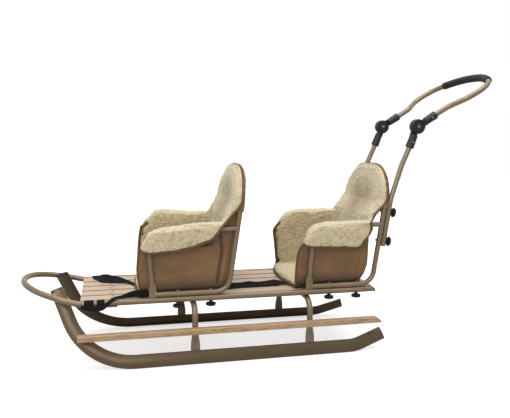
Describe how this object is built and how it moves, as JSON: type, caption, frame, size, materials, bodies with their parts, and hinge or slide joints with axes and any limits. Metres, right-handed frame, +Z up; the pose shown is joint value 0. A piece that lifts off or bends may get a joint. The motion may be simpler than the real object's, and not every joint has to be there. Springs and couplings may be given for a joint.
{
  "type": "snow sled",
  "caption": "Snow sled for towing or pushing small children: metal tube frame on curled runners, wooden slat deck, padded seats and a folding push bar.",
  "frame": {"origin": "On the ground under the middle of the sled's bounding box.", "axes": "+X is the longest extent, from the nose to the push bar; -Y is the sled's left side seen from behind; +Z is up."},
  "size_m": [1.693, 0.4746, 0.9891],
  "materials": {
    "frame_paint": "hammered beige metallic lacquer",
    "wood": "clear varnished softwood",
    "nylon": "woven brown nylon",
    "fleece": "cream fleece",
    "webbing": "black webbing",
    "black_plastic": "grained",
    "foam": "closed-cell foam",
    "steel": "zinc plated"
  },
  "bodies": {
    "sled": {"clamp_bolts": "steel", "clamp_knobs": "black_plastic", "deck_frame": "frame_paint", "footrest_left": "wood", "footrest_right": "wood", "front_cross_bar": "frame_paint", "front_leg_arch": "frame_paint", "front_seat_frame": "frame_paint", "front_seat_liner": "fleece", "front_seat_shell": "nylon", "leg_bolts": "steel", "lower_joint_left": "black_plastic", "lower_joint_right": "black_plastic", "lower_joint_screws": "steel", "pivot_bolts": "steel", "push_tube_left": "frame_paint", "push_tube_right": "frame_paint", "rear_leg_arch": "frame_paint", "rear_seat_frame": "frame_paint", "rear_seat_liner": "fleece", "rear_seat_shell": "nylon", "runner_left": "frame_paint", "runner_plugs": "black_plastic", "runner_right": "frame_paint", "runner_studs": "steel", "seat_bolts": "steel", "seat_knobs": "black_plastic", "slat_1": "wood", "slat_2": "wood", "slat_3": "wood", "slat_4": "wood", "slat_5": "wood", "slat_screws": "steel", "tow_strap_left": "webbing", "tow_strap_right": "webbing", "tow_strap_rings": "webbing"},
    "push_bar": {"push_loop": "frame_paint", "push_grip": "foam", "upper_joint_left": "black_plastic", "upper_joint_right": "black_plastic", "upper_joint_screws": "steel"}
  },
  "joints": [
    {"name": "push_bar_fold", "type": "hinge", "parent": "sled", "child": "push_bar", "pos_m": [0.5285, 0, 0.788], "axis": [0, 1, 0], "range_deg": [-75, 75]}
  ]
}
